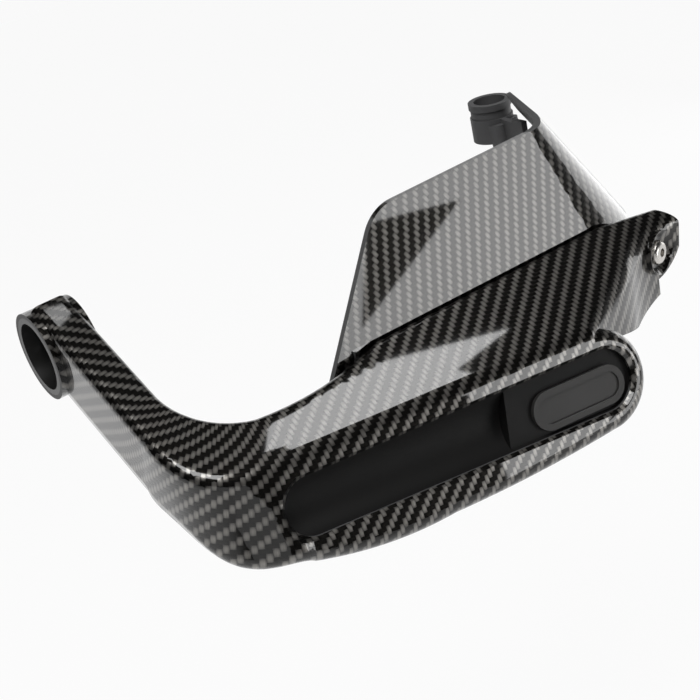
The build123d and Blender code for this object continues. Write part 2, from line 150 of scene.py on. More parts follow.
EYE_FACE = ((0.298, 0.326), (0.341, 0.323), (0.343, 0.314), (0.305, 0.296))
CORNER_FACE = (-1.1, -0.34, -0.12, 0.1)
SIDE_FACE = (-0.34, -0.32, 0.6, 0.2)
WHOLE_FACE = [(0, 1, 2, 3)]
KEY_PLACE = (-0.3, -0.5, 1.35)
KEY_AIM = (0.15, -0.08, 0.0)
KEY_SIZE = 0.8


class WovenFinish(bpy.types.PropertyGroup):
    """Finish of the woven skins."""

    tow: FloatProperty(
        name="Tow width", description="Width of one woven tow", default=0.002, unit="LENGTH"
    )
    warp: FloatVectorProperty(
        name="Warp", description="Colour of the tows that catch the light", subtype="COLOR",
        default=(0.215, 0.205, 0.19),
    )
    weft: FloatVectorProperty(
        name="Weft", description="Colour of the tows that lie across", subtype="COLOR",
        default=(0.008, 0.007, 0.0056),
    )
    inner: FloatVectorProperty(
        name="Inner face", description="Colour of the unpolished inner face", subtype="COLOR",
        default=(0.085, 0.085, 0.086),
    )
    edge_round: FloatProperty(
        name="Edge rounding", description="Rounding of the trimmed edges", default=0.0004,
        unit="LENGTH",
    )
    longest_edge: FloatProperty(
        name="Longest edge", description="Longest mesh edge under the weave", default=0.008,
        unit="LENGTH",
    )


class TrimFinish(bpy.types.PropertyGroup):
    """Finish of the moulded and metal pieces."""

    trough: FloatVectorProperty(
        name="Trough", description="Colour of the matt trough", subtype="COLOR",
        default=(0.0028, 0.0026, 0.0025),
    )
    badge: FloatVectorProperty(
        name="Pad", description="Colour of the pill-shaped pad", subtype="COLOR",
        default=(0.034, 0.033, 0.032),
    )
    liner: FloatVectorProperty(
        name="Liner", description="Colour of the bar-end liner", subtype="COLOR",
        default=(0.014, 0.0138, 0.0135),
    )
    bracket: FloatVectorProperty(
        name="Bracket", description="Colour of the bracket and its boss", subtype="COLOR",
        default=(0.095, 0.095, 0.097),
    )
    steel: FloatVectorProperty(
        name="Steel", description="Colour of the bolt and its sleeve", subtype="COLOR",
        default=(0.62, 0.60, 0.57),
    )
    black_screw: FloatVectorProperty(
        name="Black screws", description="Colour of the small screws", subtype="COLOR",
        default=(0.045, 0.045, 0.047),
    )
    brass: FloatVectorProperty(
        name="Nut", description="Colour of the threaded insert", subtype="COLOR",
        default=(0.66, 0.48, 0.22),
    )


class StudioLook(bpy.types.PropertyGroup):
    """Floor, light and camera."""

    floor_drop: FloatProperty(
        name="Floor drop", description="Room between the held part and the floor", default=0.25,
        unit="LENGTH",
    )
    floor_colour: FloatVectorProperty(
        name="Floor", description="Colour of the floor", subtype="COLOR", default=(0.9, 0.9, 0.9)
    )
    floor_glow: FloatProperty(
        name="Floor glow", description="Share of even white in the floor as it is seen",
        default=0.94,
    )
    room: FloatProperty(
        name="Room light", description="Strength of the dim room around the lamps", default=0.028
    )
    front_light: FloatProperty(
        name="Front light", description="Brightness of the front panel", default=4.8
    )
    corner_light: FloatProperty(
        name="Corner light", description="Brightness of the panel the corner mirrors", default=0.8
    )
    side_light: FloatProperty(
        name="Side light", description="Brightness of the side panel", default=2.0
    )
    top_light: FloatProperty(
        name="Top light", description="Brightness of the overhead panel", default=7.5
    )
    eye_light: FloatProperty(
        name="Eye light", description="Brightness of the small panel over the eye", default=4.0
    )
    key_light: FloatProperty(
        name="Key light", description="Brightness of the soft lamp for the matt pieces", default=8.0
    )
    azimuth: FloatProperty(
        name="Azimuth", description="Camera angle round the part", subtype="ANGLE",
        default=math.radians(-30.325),
    )
    elevation: FloatProperty(
        name="Elevation", description="Camera angle above the horizon", subtype="ANGLE",
        default=math.radians(25.689),
    )
    roll: FloatProperty(
        name="Roll", description="Camera tilt", subtype="ANGLE", default=math.radians(-13.062)
    )
    place: FloatVectorProperty(
        name="Camera place", description="Where the camera stands", subtype="XYZ", unit="LENGTH",
        default=(-0.15143, -0.52362, 0.22331),
    )
    lens: FloatProperty(
        name="Lens", description="Focal length for a square picture",
        default=FOCAL_PIXELS / PICTURE_PIXELS * SENSOR_WIDTH,
    )


def finish_of(kind):
    """The scene's settings of one kind."""
    return getattr(bpy.context.scene, kind)


def tinted(colour, tint=1.0):
    """Lighter or darker colour with full alpha."""
    return tuple(min(1.0, tint * part) for part in colour) + (1.0,)


def cut_long_edges(work):
    """Cuts a mesh fine enough for the weave map to follow the skin."""
    longest = finish_of("woven_finish").longest_edge
    bmesh.ops.triangulate(work, faces=work.faces[:])
    for _ in range(CUT_PASSES):
        long_edges = [edge for edge in work.edges if edge.calc_length() > longest]
        bmesh.ops.subdivide_edges(work, edges=long_edges, cuts=1)
        bmesh.ops.triangulate(work, faces=[face for face in work.faces if len(face.verts) > 3])


def smooth_copy(node, name):
    """Merged copy of a solid's mesh with rounded edges and even shading."""
    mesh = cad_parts[node].data.copy()
    mesh.name = name
    mesh.materials.clear()
    for layer in list(mesh.uv_layers):
        mesh.uv_layers.remove(layer)
    work = bmesh.new()
    work.from_mesh(mesh)
    bmesh.ops.remove_doubles(work, verts=work.verts[:], dist=MERGE_GAP)
    bmesh.ops.dissolve_degenerate(work, edges=work.edges[:], dist=SLIVER)
    bmesh.ops.dissolve_limit(
        work, angle_limit=FLAT_ANGLE, verts=work.verts[:], edges=work.edges[:]
    )
    cut_long_edges(work)
    for face in work.faces:
        face.smooth = True
    work.to_mesh(mesh)
    work.free()
    if mesh.attributes.get("custom_normal"):
        mesh.attributes.remove(mesh.attributes["custom_normal"])
    mesh.set_sharp_from_angle(angle=SHARP_ANGLE)
    piece = bpy.data.objects.new(name, mesh)
    bpy.context.scene.collection.objects.link(piece)
    rounding = piece.modifiers.new("edge", "BEVEL")
    rounding.width = finish_of("woven_finish").edge_round
    rounding.segments = 2
    rounding.limit_method = "ANGLE"
    rounding.angle_limit = ROUNDED_ANGLE
    rounding.use_clamp_overlap = True
    even = piece.modifiers.new("even", "WEIGHTED_NORMAL")
    even.keep_sharp = True
    even.weight = NORMAL_WEIGHT
    apply_modifiers(piece)
    return piece


def apply_modifiers(piece):
    """Turns a piece and its modifiers into one plain mesh."""
    evaluated = piece.evaluated_get(bpy.context.evaluated_depsgraph_get())
    made = bpy.data.meshes.new_from_object(evaluated)
    old = piece.data
    piece.modifiers.clear()
    piece.data = made
    bpy.data.meshes.remove(old)
    made.name = piece.name


def stand_for(piece, slot, *nodes):
    """Puts a finished piece in place of its solids."""
    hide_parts(*nodes)
    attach(piece, "root")


def node_row(tree, kind, **values):
    """Adds a node and sets its plain values."""
    node = tree.nodes.new(kind)
    for key, value in values.items():
        setattr(node, key, value)
    return node


def maths(tree, operation, first, second=None):
    """Maths node over sockets or numbers; gives its output."""
    node = node_row(tree, "ShaderNodeMath", operation=operation)
    for socket, value in zip(node.inputs, (first, second)):
        if value is None:
            continue
        if isinstance(value, (int, float)):
            socket.default_value = value
        else:
            tree.links.new(value, socket)
    return node.outputs[0]


def new_group(name, inputs, outputs):
    """Shader node group with named sockets."""
    group = bpy.data.node_groups.new(name, "ShaderNodeTree")
    for label, kind, default in inputs:
        socket = group.interface.new_socket(label, in_out="INPUT", socket_type=kind)
        if default is not None:
            socket.default_value = default
    for label, kind in outputs:
        group.interface.new_socket(label, in_out="OUTPUT", socket_type=kind)
    entry = group.nodes.new("NodeGroupInput")
    leave = group.nodes.new("NodeGroupOutput")
    return group, entry.outputs, leave.inputs


def twill_group():
    """Two-by-two twill: which tow is on top, how high it lies and its fibre streaks."""
    found = bpy.data.node_groups.get("Twill weave")
    if found:
        return found
    group, given, result = new_group(
        "Twill weave",
        [("Vector", "NodeSocketVector", None), ("Tow", "NodeSocketFloat", 0.002)],
        [
            ("Warp", "NodeSocketFloat"),
            ("Height", "NodeSocketFloat"),
            ("Streak", "NodeSocketFloat"),
        ],
    )
    split = group.nodes.new("ShaderNodeSeparateXYZ")
    group.links.new(given["Vector"], split.inputs[0])
    across = maths(group, "DIVIDE", split.outputs[0], given["Tow"])
    along = maths(group, "DIVIDE", split.outputs[1], given["Tow"])
    column = maths(group, "FLOOR", across)
    row = maths(group, "FLOOR", along)
    # Warp floats: two tows long, stepped by one on each next tow
    warp_run = maths(group, "FLOORED_MODULO", maths(group, "ADD", along, column), TWILL_REPEAT)
    weft_run = maths(group, "FLOORED_MODULO", maths(group, "ADD", across, row), TWILL_REPEAT)
    warp = maths(group, "LESS_THAN", warp_run, FLOAT_TOWS)
    warp_side = maths(group, "SUBTRACT", maths(group, "FRACT", across), 0.5)
    weft_side = maths(group, "SUBTRACT", maths(group, "FRACT", along), 0.5)
    warp_mid = maths(group, "SUBTRACT", maths(group, "MULTIPLY", warp_run, 0.5), 0.5)
    weft_mid = maths(group, "SUBTRACT", maths(group, "MULTIPLY", weft_run, 0.5), 1.5)

    def chosen(first, second):
        mix = node_row(group, "ShaderNodeMix", data_type="FLOAT")
        group.links.new(warp, mix.inputs["Factor"])
        group.links.new(second, mix.inputs[2])
        group.links.new(first, mix.inputs[3])
        return mix.outputs[0]

    def fall(offset, power, depth):
        steep = maths(group, "POWER", maths(group, "ABSOLUTE", offset), power)
        return maths(group, "MULTIPLY", steep, depth)

    side_fall = fall(chosen(warp_side, weft_side), power=3.0, depth=5.5)
    end_fall = fall(chosen(warp_mid, weft_mid), power=2.0, depth=2.6)
    height = maths(group, "SUBTRACT", maths(group, "SUBTRACT", 1.0, side_fall), end_fall)
    group.links.new(height, result["Height"])
    group.links.new(warp, result["Warp"])
    # Fine streaks along each tow
    fibre_across = chosen(across, along)
    fibre_along = chosen(along, across)
    spread = group.nodes.new("ShaderNodeCombineXYZ")
    group.links.new(maths(group, "MULTIPLY", fibre_across, FIBRES_PER_TOW), spread.inputs[0])
    group.links.new(maths(group, "MULTIPLY", fibre_along, FIBRE_STRETCH), spread.inputs[1])
    group.links.new(warp, spread.inputs[2])
    noise = node_row(group, "ShaderNodeTexNoise", noise_dimensions="3D")
    noise.inputs["Scale"].default_value = 1.0
    noise.inputs["Detail"].default_value = 2.0
    group.links.new(spread.outputs[0], noise.inputs["Vector"])
    group.links.new(noise.outputs[0], result["Streak"])
    return group


def grain_group():
    """Fine moulded grain with slow patches of uneven gloss."""
    found = bpy.data.node_groups.get("Moulded grain")
    if found:
        return found
    group, given, result = new_group(
        "Moulded grain",
        [
            ("Vector", "NodeSocketVector", None),
            ("Scale", "NodeSocketFloat", 2500.0),
            ("Patch scale", "NodeSocketFloat", 60.0),
        ],
        [("Grain", "NodeSocketFloat"), ("Patches", "NodeSocketFloat")],
    )
    fine = node_row(group, "ShaderNodeTexNoise", noise_dimensions="3D")
    fine.inputs["Detail"].default_value = 2.0
    group.links.new(given["Vector"], fine.inputs["Vector"])
    group.links.new(given["Scale"], fine.inputs["Scale"])
    slow = node_row(group, "ShaderNodeTexNoise", noise_dimensions="3D")
    slow.inputs["Detail"].default_value = 3.0
    group.links.new(given["Vector"], slow.inputs["Vector"])
    group.links.new(given["Patch scale"], slow.inputs["Scale"])
    group.links.new(fine.outputs[0], result["Grain"])
    group.links.new(slow.outputs[0], result["Patches"])
    return group


def new_material(name):
    """Empty node material: its tree and its main shader."""
    material = bpy.data.materials.new(name)
    material.use_nodes = True
    tree = material.node_tree
    tree.nodes.clear()
    shader = tree.nodes.new("ShaderNodeBsdfPrincipled")
    leave = tree.nodes.new("ShaderNodeOutputMaterial")
    tree.links.new(shader.outputs[0], leave.inputs[0])
    return material, tree, shader


def ramp(tree, value, low, high):
    """Maps a 0 to 1 value onto a range."""
    node = tree.nodes.new("ShaderNodeMapRange")
    tree.links.new(value, node.inputs["Value"])
    node.inputs["To Min"].default_value = low
    node.inputs["To Max"].default_value = high
    return node.outputs[0]


def blend_colours(tree, factor, first, second):
    """Mixes two plain colours by a mask."""
    node = node_row(tree, "ShaderNodeMix", data_type="RGBA")
    tree.links.new(factor, node.inputs["Factor"])
    node.inputs[6].default_value = first
    node.inputs[7].default_value = second
    return node.outputs[2]


def bumped(tree, shader, height, strength, distance):
    """Feeds a height through a bump to the shader's normal."""
    node = tree.nodes.new("ShaderNodeBump")
    node.inputs["Strength"].default_value = strength
    node.inputs["Distance"].default_value = distance
    tree.links.new(height, node.inputs["Height"])
    tree.links.new(node.outputs[0], shader.inputs["Normal"])


def woven_material(name, turn, warp_painted_shade=1.0):
    """Clear-coated twill on the piece's own weave map, with painted shade in the dips of the tows
    and, where a factor is given, on the warp.
    """
    look = finish_of("woven_finish")
    # Painted shade: a piece that takes more light can have its warp colour darkened by a factor
    warp = tinted(look.warp, warp_painted_shade)
    material, tree, shader = new_material(name)
    map_node = node_row(tree, "ShaderNodeUVMap", uv_map="weave")
    turned = tree.nodes.new("ShaderNodeMapping")
    turned.inputs["Rotation"].default_value = (0.0, 0.0, turn)
    tree.links.new(map_node.outputs[0], turned.inputs["Vector"])
    weave = node_row(tree, "ShaderNodeGroup", node_tree=twill_group())
    weave.inputs["Tow"].default_value = look.tow
    tree.links.new(turned.outputs[0], weave.inputs["Vector"])
    cloth = blend_colours(tree, weave.outputs["Warp"], tinted(look.weft), warp)
    streak = ramp(tree, weave.outputs["Streak"], low=0.55, high=1.45)
    # Painted shade: the colour darkens where the tows dip at their sides and float ends, down to
    # the deepest shade
    painted_dip_shade = maths(tree, "MAXIMUM", weave.outputs["Height"], DEEPEST_SHADE)
    shade = maths(tree, "MULTIPLY", streak, painted_dip_shade)
    scale = node_row(tree, "ShaderNodeVectorMath", operation="SCALE")
    tree.links.new(cloth, scale.inputs[0])
    tree.links.new(shade, scale.inputs["Scale"])
    tree.links.new(scale.outputs[0], shader.inputs["Base Color"])
    shader.inputs["Metallic"].default_value = 0.9
    shader.inputs["Roughness"].default_value = 0.42
    shader.inputs["Coat Weight"].default_value = 1.0
    shader.inputs["Coat Roughness"].default_value = 0.03
    shader.inputs["Coat IOR"].default_value = 1.5
    bumped(tree, shader, weave.outputs["Height"], strength=0.35, distance=0.0002)
    return material


def grained(tree, shader, colour, tints, gloss, scales, bump):
    """Gives a shader patches between two tints and two roughnesses, and a fine grain."""
    place = tree.nodes.new("ShaderNodeTexCoord")
    grain = node_row(tree, "ShaderNodeGroup", node_tree=grain_group())
    grain.inputs["Scale"].default_value, grain.inputs["Patch scale"].default_value = scales
    tree.links.new(place.outputs["Object"], grain.inputs["Vector"])
    patches = grain.outputs["Patches"]
    deep, pale = (tinted(colour, tint) for tint in tints)
    tree.links.new(blend_colours(tree, patches, deep, pale), shader.inputs["Base Color"])
    tree.links.new(ramp(tree, patches, *gloss), shader.inputs["Roughness"])
    bumped(tree, shader, grain.outputs["Grain"], *bump)


def layup_material():
    """Unpolished inner face of the woven skins."""
    found = bpy.data.materials.get("layup_inner_face")
    if found:
        return found
    look = finish_of("woven_finish")
    material, tree, shader = new_material("layup_inner_face")
    grained(
        tree, shader, look.inner, tints=(0.6, 1.5), gloss=(0.45, 0.62), scales=(1400.0, 45.0),
        bump=(0.4, 0.0002),
    )
    return material


def moulded_material(name, colour, roughness, grain_scale, grain_depth, shine):
    """Moulded plastic with grain and slight patches."""
    material, tree, shader = new_material(name)
    grained(
        tree, shader, colour, tints=(0.82, 1.18), gloss=(roughness - 0.05, roughness + 0.06),
        scales=(grain_scale, 60.0), bump=(grain_depth, 0.00012),
    )
    shader.inputs["Specular IOR Level"].default_value = shine
    return material


def metal_material(name, colour, roughness):
    """Turned or drawn metal with fine marks."""
    material, tree, shader = new_material(name)
    grained(
        tree, shader, colour, tints=(0.8, 1.1), gloss=(roughness - 0.06, roughness + 0.08),
        scales=(3200.0, 220.0), bump=(0.12, 0.00005),
    )
    shader.inputs["Metallic"].default_value = 1.0
    return material


def bend_ways():
    """Plan directions of the shell: along and out of the arm, along and out of the panel."""
    arm_way = Vector((math.sin(ARM_TOE), -math.cos(ARM_TOE)))
    panel_way = Vector((math.cos(PANEL_YAW), -math.sin(PANEL_YAW)))
    arm_out = Vector((arm_way.y, -arm_way.x))
    panel_out = Vector((panel_way.y, -panel_way.x))
    return arm_way, arm_out, panel_way, panel_out


def band_place(spot):
    """Place of a plan point round the bend: run, distance out, share of the bend, way out."""
    arm_way, arm_out, panel_way, panel_out = bend_ways()
    angle = arm_way.angle(panel_way)
    spoke = spot - BEND_CENTRE
    if spoke.dot(arm_way) < 0:
        return spoke.dot(arm_way), spoke.dot(arm_out), 0.0, arm_out
    if spoke.dot(panel_way) > 0:
        return angle * BEND_RADIUS + spoke.dot(panel_way), spoke.dot(panel_out), 1.0, panel_out
    turned = math.atan2(spoke.dot(arm_way), spoke.dot(arm_out))
    turned = min(max(turned, 0.0), angle)
    return turned * BEND_RADIUS, spoke.length, turned / angle, spoke.normalized()


def shell_weave_place(point):
    """Place on the developed skin of a point of the guard shell: along the bend, and across it."""
    flat = Matrix.Rotation(-SHELL_PITCH, 3, "X") @ point
    run, out, share, _ = band_place(Vector((flat.x, flat.y)))
    panel_fall = (1.0 - math.sin(PANEL_LEAN)) / math.cos(PANEL_LEAN)
    fall = 1.0 + (panel_fall - 1.0) * share
    return run, out + fall * (SHELL_TOP - flat.z)


def deflector_weave_place(point):
    """Place on the deflector's cloth, which follows the fold into the wing."""
    return point.x - WING_SHEAR * point.y, -point.z


def is_inner_side(centre, normal):
    """Whether a face of the shell belongs to the unpolished inside of the channel."""
    turned = Matrix.Rotation(-SHELL_PITCH, 3, "X")
    flat = turned @ centre
    facing = turned @ normal
    _, out, _, way = band_place(Vector((flat.x, flat.y)))
    outward = Vector((facing.x, facing.y)).dot(way)
    under = SHELL_TOP - flat.z
    under_top = facing.z < CEILING_FACING and CEILING_NEAR < under < CEILING_FAR
    behind_wall = out > BAND_MIDDLE and outward < -WALL_FACING
    before_ear = (flat.x - BEND_CENTRE.x) * math.cos(PANEL_YAW) < PANEL_REACH
    behind_lip = out < BAND_MIDDLE and outward > WALL_FACING and under > CEILING_NEAR
    return under_top or behind_wall or (before_ear and behind_lip)


def lay_weave(mesh, place_of):
    """Writes the weave map of a mesh from its points."""
    layer = mesh.uv_layers.new(name="weave")
    places = [place_of(vertex.co) for vertex in mesh.vertices]
    for loop in mesh.loops:
        layer.data[loop.index].uv = places[loop.vertex_index]


class HANDGUARD_OT_shell(bpy.types.Operator):
    """Woven guard shell with its bar-end eye, slot and ear"""

    bl_idname = "handguard.shell"
    bl_label = "Guard shell"

    def execute(self, context):
        look = context.scene.woven_finish
        piece = smooth_copy("guard_shell", "woven_guard_shell")
        mesh = piece.data
        lay_weave(mesh, shell_weave_place)
        mesh.materials.append(woven_material("woven_shell_skin", turn=0.0))
        mesh.materials.append(layup_material())
        # Painted shade: the eye's end face takes the liner's dark matt plastic in place of the
        # glossy weave, so it does not mirror the floor
        eye_shade_colour = context.scene.trim_finish.liner
        eye_end_shade_material = moulded_material(
            "trimmed_eye_edge", eye_shade_colour, roughness=0.5, grain_scale=1800.0, grain_depth=0.15,
            shine=0.5,
        )
        mesh.materials.append(eye_end_shade_material)
        for face in mesh.polygons:
            face.material_index = int(is_inner_side(face.center, face.normal))
            # Eye end faces get the painted shade material
            if face.normal.x < EYE_END_FACING and face.center.x < look.edge_round:
                face.material_index = 2
        stand_for(piece, "woven_shell", "guard_shell")
        return {"FINISHED"}


class HANDGUARD_OT_deflector(bpy.types.Operator):
    """Folded woven wind deflector, matt on its inner face"""

    bl_idname = "handguard.deflector"
    bl_label = "Wind deflector"

    def execute(self, context):
        piece = smooth_copy("wind_deflector", "woven_deflector")
        mesh = piece.data
        lay_weave(mesh, deflector_weave_place)
        # The deflector's warp carries painted shade
        mesh.materials.append(
            woven_material("woven_deflector_skin", DEFLECTOR_TURN, DEFLECTOR_PAINTED_SHADE)
        )
        mesh.materials.append(layup_material())
        for face in mesh.polygons:
            inner_face = face.normal.y > RIDER_FACING
            outboard_edge = face.normal.x < -EDGE_FACING
            wing_top = face.center.x > WING_START and face.normal.z > EDGE_FACING
            face.material_index = int(inner_face or outboard_edge or wing_top)
        stand_for(piece, "woven_deflector", "wind_deflector")
        return {"FINISHED"}


def pointing(yaw, lift, hand=1.0):
    """Direction that looks forward, turned by a yaw to one hand and lifted."""
    level = math.cos(lift)
    return Vector((hand * math.sin(yaw) * level, -math.cos(yaw) * level, math.sin(lift)))


def dress(node, material):
    """Gives a solid's own mesh a finished material."""
    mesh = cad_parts[node].data
    mesh.materials.clear()
    mesh.materials.append(material)


class HANDGUARD_OT_trim(bpy.types.Operator):
    """Trough, pad, liner and bracket in moulded plastic"""

    bl_idname = "handguard.trim"
    bl_label = "Moulded pieces"

    def execute(self, context):
        look = context.scene.trim_finish
        # Node, material, colour, roughness, grain scale, grain depth and shine
        finishes = (
            ("slot_insert", "trough_plastic", look.trough, 0.62, 2600.0, 0.25, 0.3),
            ("badge_plate", "pad_plastic", look.badge, 0.48, 2200.0, 0.2, 0.3),
            ("bar_end_liner", "liner_plastic", look.liner, 0.36, 1800.0, 0.15, 0.5),
            ("mount_bracket", "bracket_plastic", look.bracket, 0.55, 1500.0, 0.5, 0.3),
        )
        for node, *finish in finishes:
            dress(node, moulded_material(*finish))
        return {"FINISHED"}


def screw_row_group():
    """Geometry nodes that set one screw on every point, as plain mesh."""
    found = bpy.data.node_groups.get("Screw row")
    if found:
        return found
    group = bpy.data.node_groups.new("Screw row", "GeometryNodeTree")
    for label, kind in (
        ("Geometry", "NodeSocketGeometry"),
        ("Screw", "NodeSocketObject"),
        ("Turn", "NodeSocketVector"),
        ("Finish", "NodeSocketMaterial"),
    ):
        group.interface.new_socket(label, in_out="INPUT", socket_type=kind)
    group.interface.new_socket("Geometry", in_out="OUTPUT", socket_type="NodeSocketGeometry")
    given = group.nodes.new("NodeGroupInput").outputs
    result = group.nodes.new("NodeGroupOutput").inputs
    shape = group.nodes.new("GeometryNodeObjectInfo")
    turned = group.nodes.new("FunctionNodeEulerToRotation")
    spread = group.nodes.new("GeometryNodeInstanceOnPoints")
    plain = group.nodes.new("GeometryNodeRealizeInstances")
    paint = group.nodes.new("GeometryNodeSetMaterial")
    group.links.new(given["Screw"], shape.inputs["Object"])
    group.links.new(given["Turn"], turned.inputs[0])
    group.links.new(given["Geometry"], spread.inputs["Points"])
    group.links.new(shape.outputs["Geometry"], spread.inputs["Instance"])
    group.links.new(turned.outputs[0], spread.inputs["Rotation"])
    group.links.new(spread.outputs[0], plain.inputs[0])
    group.links.new(plain.outputs[0], paint.inputs["Geometry"])
    group.links.new(given["Finish"], paint.inputs["Material"])
    group.links.new(paint.outputs[0], result[0])
    return group


def loose_solids(node):
    """Points of each separate solid of a node."""
    work = bmesh.new()
    work.from_mesh(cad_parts[node].data)
    bmesh.ops.remove_doubles(work, verts=work.verts[:], dist=MERGE_GAP)
    left = set(work.verts)
    solids = []
    while left:
        front = [left.pop()]
        points = []
        while front:
            vertex = front.pop()
            points.append(vertex.co.copy())
            for edge in vertex.link_edges:
                other = edge.other_vert(vertex)
                if other in left:
                    left.remove(other)
                    front.append(other)
        solids.append(points)
    work.free()
    return solids


def screw_sizes(points, axis):
    """Head end, head radius, head height, shank radius and length of one screw's solid."""
    across = axis.orthogonal().normalized()
    other = axis.cross(across)
    runs = [point.dot(axis) for point in points]
    first, last = min(runs), max(runs)
    sides = [[point.dot(way) for point in points] for way in (across, other)]
    middle = [(min(side) + max(side)) / 2 for side in sides]
    end = axis * first + across * middle[0] + other * middle[1]
    reach = [((point - end) - axis * (point - end).dot(axis)).length for point in points]
    head = max(reach)
    rim = HEAD_RIM_SHARE * head
    head_height = max(run for run, size in zip(runs, reach) if size > rim) - first
    shank = max(size for run, size in zip(runs, reach) if run > last - TIP_DEPTH)
    return end, head, head_height, shank, last - first


def screw_mesh(name, head, head_height, shank, length):
    """Button-head screw along +Z from its head end: hexagon socket, rounded head, thread ridges."""
    socket = SOCKET_SHARE * head
    pitch = (length - head_height) / THREAD_RIDGES
    outline = [(socket, depth * head_height, True) for depth in SOCKET_DEPTHS]
    outline += [(share * head, height * head_height, False) for share, height in HEAD_PROFILE]
    for ridge in range(THREAD_RIDGES):
        start = head_height + ridge * pitch
        for share, height in (THREAD_ROOT, THREAD_CREST):
            outline.append((share * shank, start + height * pitch, False))
    outline.append((TIP_SHARE * shank, length, False))
    work = bmesh.new()
    rows = []
    for radius, height, hexagon in outline:
        row = []
        for step in range(SCREW_SIDES):
            angle = 2 * math.pi * step / SCREW_SIDES
            # Angle from the middle of the nearest flat of the hexagon
            within = (angle + math.pi / 6) % (math.pi / 3) - math.pi / 6
            size = radius / math.cos(within) if hexagon else radius
            row.append(work.verts.new((size * math.cos(angle), size * math.sin(angle), height)))
        rows.append(row)
    for near, far in zip(rows, rows[1:]):
        for step in range(SCREW_SIDES):
            after = (step + 1) % SCREW_SIDES
            work.faces.new((near[step], near[after], far[after], far[step]))
    work.faces.new(reversed(rows[0]))
    work.faces.new(rows[-1])
    bmesh.ops.recalc_face_normals(work, faces=work.faces[:])
    for face in work.faces:
        face.smooth = True
    mesh = bpy.data.meshes.new(name)
    work.to_mesh(mesh)
    work.free()
    mesh.set_sharp_from_angle(angle=SCREW_SHARP_ANGLE)
    return mesh


def screw_row(node, name, axis, material):
    """Sets detailed screws in place of the plain ones of a node."""
    found = [screw_sizes(points, axis) for points in loose_solids(node)]
    one = name + "_one"
    template = bpy.data.objects.new(one, screw_mesh(one, *found[0][1:]))
    head_ends = bpy.data.meshes.new(name)
    head_ends.from_pydata([sizes[0] for sizes in found], [], [])
    piece = bpy.data.objects.new(name, head_ends)
    bpy.context.scene.collection.objects.link(piece)
    row = piece.modifiers.new("row", "NODES")
    row.node_group = screw_row_group()
    turn = Vector((0.0, 0.0, 1.0)).rotation_difference(axis).to_euler()
    values = {"Screw": template, "Turn": tuple(turn), "Finish": material}
    for socket in row.node_group.interface.items_tree:
        if socket.in_out == "INPUT" and socket.name in values:
            row[socket.identifier] = values[socket.name]
    apply_modifiers(piece)
    bpy.data.objects.remove(template)
    stand_for(piece, "screws", node)


class HANDGUARD_OT_fasteners(bpy.types.Operator):
    """Clamp bolt with its sleeve, threaded insert and small screws"""

    bl_idname = "handguard.fasteners"
    bl_label = "Fasteners"

    def execute(self, context):
        look = context.scene.trim_finish
        steel = metal_material("bright_steel", look.steel, roughness=0.26)
        dress("ear_bolt", steel)
        dress("ear_sleeve", steel)
        dress("bracket_nut", metal_material("insert_brass", look.brass, roughness=0.3))
        black = metal_material("black_screw_steel", look.black_screw, roughness=0.38)
        pitched = Matrix.Rotation(SHELL_PITCH, 3, "X")
        panel_normal = pointing(PANEL_YAW, PANEL_LEAN, -1.0)
        forward = Vector((0.0, -1.0, 0.0))
        screw_row("insert_screws", "trough_screws", pitched @ panel_normal, black)
        screw_row("deflector_screws", "flange_screws", pitched @ forward, black)
        return {"FINISHED"}


def white_card(name, corners, faces, material):
    """Flat stage piece from its corners."""
    mesh = bpy.data.meshes.new(name)
    mesh.from_pydata(corners, [], faces)
    mesh.materials.append(material)
    card = bpy.data.objects.new(name, mesh)
    bpy.context.scene.collection.objects.link(card)
    return card


def glow_material(name, radiance):
    """Even lamp face."""
    material = bpy.data.materials.new(name)
    material.use_nodes = True
    tree = material.node_tree
    tree.nodes.clear()
    glow = tree.nodes.new("ShaderNodeEmission")
    glow.inputs["Strength"].default_value = radiance
    leave = tree.nodes.new("ShaderNodeOutputMaterial")
    tree.links.new(glow.outputs[0], leave.inputs[0])
    return material


def light_panel(name, corners, faces, radiance):
    """Lamp face that lights the part and shows in its gloss, but not to the camera."""
    panel = white_card(name, corners, faces, glow_material(name + "_face", radiance))
    panel.visible_camera = False


def soft_lamp(name, centre, towards, size, radiance):
    """Square soft lamp for the matt pieces."""
    lamp = bpy.data.lights.new(name, "AREA")
    lamp.size = size
    lamp.energy = radiance * size * size * math.pi
    body = bpy.data.objects.new(name, lamp)
    bpy.context.scene.collection.objects.link(body)
    body.location = centre
    aim = Vector(towards) - Vector(centre)
    body.rotation_mode = "QUATERNION"
    body.rotation_quaternion = aim.to_track_quat("-Z", "Y")


def seen_directly(tree, mirrored=None):
    """Mask of rays that show the background: straight, through glass and, to a share, mirrored."""
    path = tree.nodes.new("ShaderNodeLightPath").outputs
    clear = maths(tree, "MAXIMUM", path["Is Camera Ray"], path["Is Transmission Ray"])
    if mirrored is None:
        return clear
    shown = maths(tree, "MULTIPLY", path["Is Glossy Ray"], mirrored)
    return maths(tree, "MAXIMUM", clear, shown)


